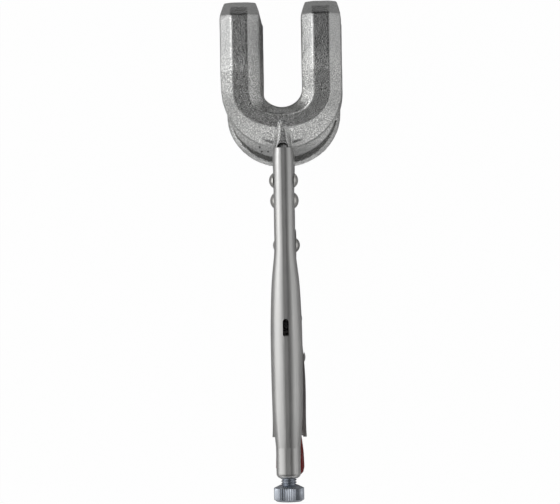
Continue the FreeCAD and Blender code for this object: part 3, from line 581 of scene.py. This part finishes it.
def flank(name, up, radius, shift):
    """The crescent behind the bend, with drafted sides above and below the parting line."""
    middle, away, back = parting(up)
    tilt = SLOPE if up > 0 else math.pi - SLOPE
    halves = []
    for side, height, loss in ((1, FLANK_RISE, FLANK_RISE_LOSS),
                               (-1, FLANK_FALL, FLANK_FALL_LOSS)):
        ends = (radius * MM, (radius - loss) * MM)
        place = middle + back * shift + away * side * height / 2
        put_down_everything()
        bpy.ops.mesh.primitive_cone_add(
            vertices=128, radius1=ends[side < 0], radius2=ends[side > 0], depth=height * MM,
            location=place * MM, rotation=(tilt, 0, 0))
        half = named(name)
        settle(half)
        edit(half)
        bpy.ops.mesh.select_all(action="SELECT")
        bpy.ops.mesh.bisect(plane_co=(middle + Vector((0, FLANK_OVERLAP, 0))) * MM,
                            plane_no=(0, 1, 0), use_fill=True, clear_outer=True)
        done_editing()
        cut_away(half, round_cutter("flank_hole", FLANK_HOLE, middle, THROUGH, tilt))
        halves.append(half)
    return halves


SHANK_END = 46.0
PIT_PLACE = Vector((0, 52.1, 50.0))
PIT_RADIUS = 2.7
PIT_CUTTER = 20.0


def forged_upper_jaw():
    """The solid's shank, with arms, rib and flank as the die leaves them."""
    shank = trimmed_copy("upper_jaw", "forged_upper_jaw", SHANK_END, clear_ahead=True)
    arms = swept("upper_arms", u_sections())
    jaw = joined([shank, arms, rib(), *flank("upper_flank", 1, *UPPER_FLANK)])
    fused(jaw)
    cut_away(jaw, round_cutter("mouth_pit", PIT_RADIUS, PIT_PLACE, PIT_CUTTER))
    as_forged(jaw, "forged_upper_jaw")
    finish_piece(jaw, UPPER_FORGED, "forging", "handle_frame", "upper_jaw")


RIM = 2.1
TROUGH_DEPTH = 0.9
TROUGH_CUTTER = 20.0
TROUGH_INSIDE = 30.9
TROUGH_WEB = Vector((9, 120, 80)) * MM


def trough_cutter():
    """The crescent inside the lower jaw's rim, with a web left across its middle."""
    middle, away, back = parting(-1)
    radius, shift = LOWER_FLANK
    lift = -away * (TROUGH_CUTTER / 2 - TROUGH_DEPTH)
    trough = round_cutter("trough", radius - RIM, middle + back * shift + lift,
                          TROUGH_CUTTER, -SLOPE)
    cut_away(trough, round_cutter("trough_inside", TROUGH_INSIDE, middle + lift,
                                  TROUGH_CUTTER * 2, -SLOPE))
    put_down_everything()
    bpy.ops.mesh.primitive_cube_add(size=1, location=middle * MM, scale=TROUGH_WEB)
    web = named("trough_web")
    settle(web)
    cut_away(trough, web)
    return trough


def forged_lower_jaw():
    """The solid with a drafted flank, whose raised rim has a crescent trough inside it."""
    solid = copy_of("lower_jaw", "forged_lower_jaw")
    jaw = joined([solid, *flank("lower_flank", -1, *LOWER_FLANK)])
    fused(jaw)
    cut_away(jaw, trough_cutter())
    as_forged(jaw, "forged_lower_jaw")
    finish_piece(jaw, LOWER_FORGED, "forging", "moving_jaw", "lower_jaw")


forged_upper_jaw()
forged_lower_jaw()


# ---------------------------------------------------------------- screw and knob

THREAD_PITCH = 1.25 * MM
THREAD_CREST = 3.98 * MM
THREAD_ROOT = 3.32 * MM
THREAD_STEPS = 36
# the share of the pitch that each face of the thread takes
THREAD_HALF_ROOT = 0.10
THREAD_SIDE = 0.36
THREAD_FLAT = 0.08


def screw_middle():
    low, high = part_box("adjusting_screw")
    return (low + high) / 2


def thread(name, start, end):
    """A cut thread round the Y axis of the screw, between two places along it."""
    centre = screw_middle()
    turns = round((end - start) / THREAD_PITCH)
    put_down_everything()
    bpy.ops.mesh.primitive_plane_add(size=THREAD_PITCH, location=(0, 0, 0))
    piece = named(name)
    edit(piece)
    bpy.ops.mesh.select_all(action="SELECT")
    bpy.ops.mesh.merge(type="CENTER")
    bpy.ops.transform.translate(value=(THREAD_ROOT, 0, 0))
    height = THREAD_CREST - THREAD_ROOT
    for out, share in ((0, THREAD_HALF_ROOT), (height, THREAD_SIDE), (0, THREAD_FLAT),
                       (-height, THREAD_SIDE), (0, THREAD_HALF_ROOT)):
        move = (out, 0, share * THREAD_PITCH)
        bpy.ops.mesh.extrude_region_move(TRANSFORM_OT_translate={"value": move})
    done_editing()
    apply_modifier(piece, "SCREW", axis="Z", angle=math.tau, screw_offset=THREAD_PITCH,
                   iterations=turns, steps=THREAD_STEPS, render_steps=THREAD_STEPS,
                   use_merge_vertices=False)
    edit(piece)
    bpy.ops.mesh.select_all(action="SELECT")
    bpy.ops.mesh.remove_doubles(threshold=SEAM)
    bpy.ops.mesh.normals_make_consistent(inside=False)
    done_editing()
    piece.location = (centre.x, start, centre.z)
    piece.rotation_euler = (-math.pi / 2, 0, 0)
    settle(piece)
    return piece


def round_bar(name, radius, start, end, chamfer):
    """A bar round the screw's axis with both rims broken."""
    centre = screw_middle()
    put_down_everything()
    bpy.ops.mesh.primitive_cylinder_add(
        vertices=64, radius=radius, depth=end - start,
        location=(centre.x, (start + end) / 2, centre.z), rotation=(math.pi / 2, 0, 0))
    piece = named(name)
    settle(piece)
    edit(piece)
    choose(piece, "edges", lambda a, b: abs(a.y - b.y) < 0.01 * MM)
    bpy.ops.mesh.bevel(offset=chamfer, segments=3, affect="EDGES")
    done_editing()
    return piece


SCREW_LEAD_IN = 2.2 * MM
STUB_RADIUS = 2.6 * MM


def threaded_screw():
    """The threaded bar, with the stub that holds it in the knob."""
    low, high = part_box("adjusting_screw")
    knob_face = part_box("screw_knob")[1].y
    core_start = knob_face - 0.5 * MM
    core = round_bar("threaded_screw", THREAD_ROOT + 0.02 * MM, core_start, high.y, 0.6 * MM)
    ridges = thread("screw_thread", knob_face - 0.6 * MM, high.y - SCREW_LEAD_IN)
    stub = round_bar("screw_stub", STUB_RADIUS, low.y + 0.1 * MM, knob_face, 0.2 * MM)
    screw = joined([core, ridges, stub])
    pick_up(screw)
    bpy.ops.object.shade_smooth_by_angle(angle=math.radians(32))
    finish_piece(screw, ZINC, "zinc", "screw", "adjusting_screw")


KNURLS = 40
KNURL_DEPTH = 0.55 * MM
KNOB_SHOULDER = 4.6 * MM
KNOB_SHOULDER_RUN = 1.5 * MM
KNOB_HEEL = 6.2 * MM
KNOB_HEEL_RUN = 1.0 * MM
KNOB_RIM = 1.2 * MM
KNOB_DISH = 0.3 * MM
KNOB_DISH_SIDE = 0.4 * MM


def valley_side(point):
    """Every second corner of the knurl."""
    return round(math.atan2(point.z, point.x) * KNURLS * 2 / math.tau) % 2 == 1


def knurled_knob():
    """A turned knob: a sharp straight knurl, a broad bevel in front and a smaller one behind."""
    low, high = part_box("screw_knob")
    radius = (high.x - low.x) / 2
    centre = (low + high) / 2
    put_down_everything()
    bpy.ops.mesh.primitive_cylinder_add(
        vertices=KNURLS * 2, radius=radius, depth=high.y - low.y,
        location=centre, rotation=(math.pi / 2, 0, 0))
    knob = named("knurled_knob")
    settle(knob)
    knurl_root = radius - KNURL_DEPTH
    edit(knob)
    choose(knob, "vertices", lambda p: valley_side(p - centre))
    pull = knurl_root / radius
    bpy.ops.transform.resize(value=(pull, 1, pull), center_override=centre)
    for end, smaller in ((1, KNOB_SHOULDER), (-1, KNOB_HEEL)):
        choose(knob, "polygons", lambda c, n: n.y * end > 0.9)
        bpy.ops.mesh.extrude_region_move(TRANSFORM_OT_translate={"value": (0, 0, 0)})
        shrink = smaller / radius
        bpy.ops.transform.resize(value=(shrink, 1, shrink), center_override=centre)
    done_editing()
    edit(knob)
    on_knurl = knurl_root - 0.01 * MM
    for end, run in ((1, KNOB_SHOULDER_RUN), (-1, KNOB_HEEL_RUN)):
        choose(knob, "vertices",
               lambda p: (p - centre).xz.length > on_knurl and (p.y - centre.y) * end > 0)
        bpy.ops.transform.translate(value=(0, -end * run, 0))
    choose(knob, "polygons", lambda c, n: n.y < -0.9)
    bpy.ops.mesh.inset(thickness=KNOB_RIM)
    bpy.ops.mesh.inset(thickness=KNOB_DISH_SIDE, depth=-KNOB_DISH)
    done_editing()
    apply_modifier(knob, "BEVEL", width=0.08 * MM, segments=2, limit_method="ANGLE",
                   angle_limit=math.radians(30))
    pick_up(knob)
    bpy.ops.object.shade_smooth_by_angle(angle=math.radians(28))
    finish_piece(knob, ZINC, "zinc", "screw", "screw_knob")


threaded_screw()
knurled_knob()


# ---------------------------------------------------------------- spring

SPRING_JAW_END = Vector((0, 11.6, 28.4)) * MM
SPRING_HANDLE_END = Vector((0, -44.45, 38.2)) * MM
SPRING_WIRE = 0.9 * MM
SPRING_RADIUS = 2.7 * MM
SPRING_LOOP = 2.4 * MM
SPRING_PITCH = 0.94 * MM
SPRING_WIRE_SIDES = 10


def wound_spring():
    """A close-wound tension spring with a loop at each end."""
    along = (SPRING_HANDLE_END - SPRING_JAW_END).normalized()
    first = SPRING_JAW_END + along * 2 * SPRING_LOOP
    last = SPRING_HANDLE_END - along * 2 * SPRING_LOOP
    turns = int((last - first).length / SPRING_PITCH) - 1
    put_down_everything()
    bpy.ops.mesh.primitive_circle_add(
        vertices=SPRING_WIRE_SIDES, radius=SPRING_WIRE / 2,
        location=(SPRING_RADIUS - SPRING_WIRE / 2, 0, 0), rotation=(math.pi / 2, 0, 0))
    coil = named("wound_spring")
    settle(coil)
    apply_modifier(coil, "SCREW", axis="Z", angle=math.tau, screw_offset=SPRING_PITCH,
                   iterations=turns, steps=24, render_steps=24)
    edit(coil)
    bpy.ops.mesh.select_all(action="SELECT")
    bpy.ops.mesh.remove_doubles(threshold=SEAM)
    bpy.ops.mesh.fill_holes(sides=0)
    bpy.ops.mesh.normals_make_consistent(inside=False)
    done_editing()
    coil.location = first + along * ((last - first).length - turns * SPRING_PITCH) / 2
    coil.rotation_euler = Vector((0, 0, 1)).rotation_difference(along).to_euler()
    settle(coil)
    across = along.cross(Vector((1, 0, 0)))
    loops = []
    for spot in (SPRING_JAW_END + along * SPRING_LOOP, SPRING_HANDLE_END - along * SPRING_LOOP):
        put_down_everything()
        bpy.ops.mesh.primitive_torus_add(
            location=spot, rotation=Vector((0, 0, 1)).rotation_difference(across).to_euler(),
            major_radius=SPRING_LOOP, minor_radius=SPRING_WIRE / 2,
            major_segments=36, minor_segments=SPRING_WIRE_SIDES)
        loops.append(named("spring_loop"))
    spring = joined([coil, *loops])
    settle(spring)
    pick_up(spring)
    bpy.ops.object.shade_smooth()
    give(spring, SPRING)
    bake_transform(spring)
    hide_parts("tension_spring")


wound_spring()


# ---------------------------------------------------------------- release lever

LEVER_CUT = -104.2
LEVER_SHEET = 1.3
LEVER_SHOULDER = 1.0
# along the tool, half width, then the heights of the walls' edges and the back
LEVER_TAIL = (
    (-103.9, 7.05, 9.75, 13.65),
    (-107.0, 7.20, 9.60, 13.40),
    (-110.5, 7.30, 9.90, 13.10),
    (-113.0, 6.70, 10.30, 12.90),
    (-114.3, 5.40, 10.80, 12.80),
    (-114.9, 4.10, 11.00, 12.75),
)


def tail_channel(y, half, low, top):
    """The lever's pressed section: a back with a wall turned down at each side."""
    inner, under = half - LEVER_SHEET, top - LEVER_SHEET
    shoulder, flat = top - LEVER_SHOULDER, half - LEVER_SHOULDER
    corners = ((-half, low), (-half, shoulder), (-flat, top), (flat, top), (half, shoulder),
               (half, low), (inner, low), (inner, under), (-inner, under), (-inner, low))
    return [Vector((x, y, z)) * MM for x, z in corners]


def enamelled_lever():
    """The release lever with a slightly longer tail, rounded outwards at the corners."""
    lever = trimmed_copy("release_lever", "enamelled_lever", LEVER_CUT, clear_ahead=False)
    tail = swept("lever_tail", [tail_channel(*station) for station in LEVER_TAIL])
    apply_modifier(tail, "BEVEL", width=0.3 * MM, segments=2, limit_method="ANGLE",
                   angle_limit=math.radians(35))
    lever = joined([lever, tail])
    pick_up(lever)
    bpy.ops.object.shade_smooth_by_angle(angle=math.radians(40))
    finish_piece(lever, RED, "lever", "release", "release_lever")


enamelled_lever()


# ---------------------------------------------------------------- finishes on the solids

for node, material in {
    "fixed_handle": NICKEL,
    "end_nut": NICKEL,
    "lower_handle": NICKEL,
    "upper_jaw_rivet": RIVET,
    "jaw_pivot_rivet": RIVET,
    "handle_rivet": RIVET,
    "link_rivet": RIVET,
    "lever_pin": RIVET,
    "toggle_link": LINK,
}.items():
    give(NODES[node], material)


# ---------------------------------------------------------------- studio

VIEW_TARGET = Vector((-2.2, 0.15, 46)) * MM
VIEW_ROLL = math.radians(1.0)
VIEW_LEAN = math.radians(1.9)
VIEW_DISTANCE = 1.2
VIEW_WIDTH = 0.280
SENSOR = 36
FLOOR_GLOW = 0.985


def camera():
    put_down_everything()
    bpy.ops.object.camera_add()
    seen_by = bpy.context.object
    seen_by.data.sensor_width = SENSOR
    seen_by.data.lens = SENSOR * VIEW_DISTANCE / VIEW_WIDTH
    right = Vector((math.cos(VIEW_ROLL) * math.cos(VIEW_LEAN),
                    -math.sin(VIEW_ROLL) * math.cos(VIEW_LEAN), -math.sin(VIEW_LEAN)))
    up = Vector((math.sin(VIEW_ROLL), math.cos(VIEW_ROLL), 0))
    back = right.cross(up)
    turn = Matrix((right, up, back)).transposed().to_4x4()
    seen_by.matrix_world = Matrix.Translation(VIEW_TARGET + back * VIEW_DISTANCE) @ turn
    bpy.context.scene.camera = seen_by


def lamp(name, place, target, size, power):
    put_down_everything()
    bpy.ops.object.light_add(type="AREA", location=place)
    light = bpy.context.object
    light.name = name
    light.data.shape = "RECTANGLE"
    light.data.size, light.data.size_y = size
    light.data.energy = power
    light.rotation_euler = (Vector(target) - Vector(place)).to_track_quat("-Z", "Y").to_euler()


def floor():
    put_down_everything()
    bpy.ops.mesh.primitive_plane_add(size=8, location=(0, 0, -0.2 * MM))
    sheet = named("studio_floor")
    paper = Finish("studio_paper")
    path = paper.add("ShaderNodeLightPath", {}, {}, "Is Camera Ray")
    matt = paper.add("ShaderNodeBsdfDiffuse", {}, {"Color": (0.85, 0.85, 0.85, 1)})
    glow = paper.add("ShaderNodeEmission", {}, {"Color": (1, 1, 1, 1), "Strength": 1.0})
    both = paper.add("ShaderNodeMixShader", {}, {0: path * FLOOR_GLOW, 1: matt, 2: glow})
    paper.add("ShaderNodeOutputMaterial", {}, {"Surface": both}, None)
    give(sheet, paper.material)


ZENITH = 0.060
SHOULDER = 0.030
HORIZON = 0.36
NEAR_PANEL = 0.80
LEFT_PANEL = 0.95
RIGHT_PANEL = 0.34


def studio_walls():
    """White card low all round, a dim ceiling, a broad panel at the left, a weaker one at the
    right and one at the near side. What the camera itself sees behind the tool is white."""
    world = bpy.data.worlds.new("studio")
    bpy.context.scene.world = world
    world.use_nodes = True
    nodes = Nodes(world.node_tree)
    towards = nodes.add("ShaderNodeTexCoord", {}, {}, "Generated")
    x, y, z = (nodes.add("ShaderNodeSeparateXYZ", {}, {0: towards}, axis) for axis in "XYZ")
    seen = nodes.add("ShaderNodeLightPath", {}, {}, "Is Camera Ray")
    ceiling = SHOULDER + (ZENITH - SHOULDER) * nodes.between(z, 0.85, 0.97)
    low = 1 - nodes.between(z, 0.10, 0.55)
    card = (HORIZON - SHOULDER) * low * (1 - 0.75 * nodes.between(y, 0.50, 0.90))
    ahead_or_behind = nodes.maths("ABSOLUTE", y, 0)
    across = 1 - nodes.between(ahead_or_behind, 0.25, 0.50)
    left = LEFT_PANEL * nodes.between(x * -1, 0.10, 0.30) * across
    right = RIGHT_PANEL * nodes.between(x, 0.30, 0.50) * across
    near = NEAR_PANEL * nodes.between(y * -1, 0.45, 0.80) * low
    strength = ceiling + card + left + right + near
    strength = strength * (1 - seen) + seen
    light = nodes.add("ShaderNodeBackground", {}, {"Color": (1, 1, 1, 1), "Strength": strength})
    nodes.add("ShaderNodeOutputWorld", {}, {"Surface": light}, None)


camera()
floor()
studio_walls()
lamp("left_softbox", (-0.7, 0.15, 0.55), (0, 0, 0.02), (0.22, 0.30), 0.5)
lamp("right_softbox", (0.75, -0.10, 0.60), (0, 0, 0.02), (0.20, 0.30), 0.2)
bpy.context.scene.view_settings.view_transform = "Standard"
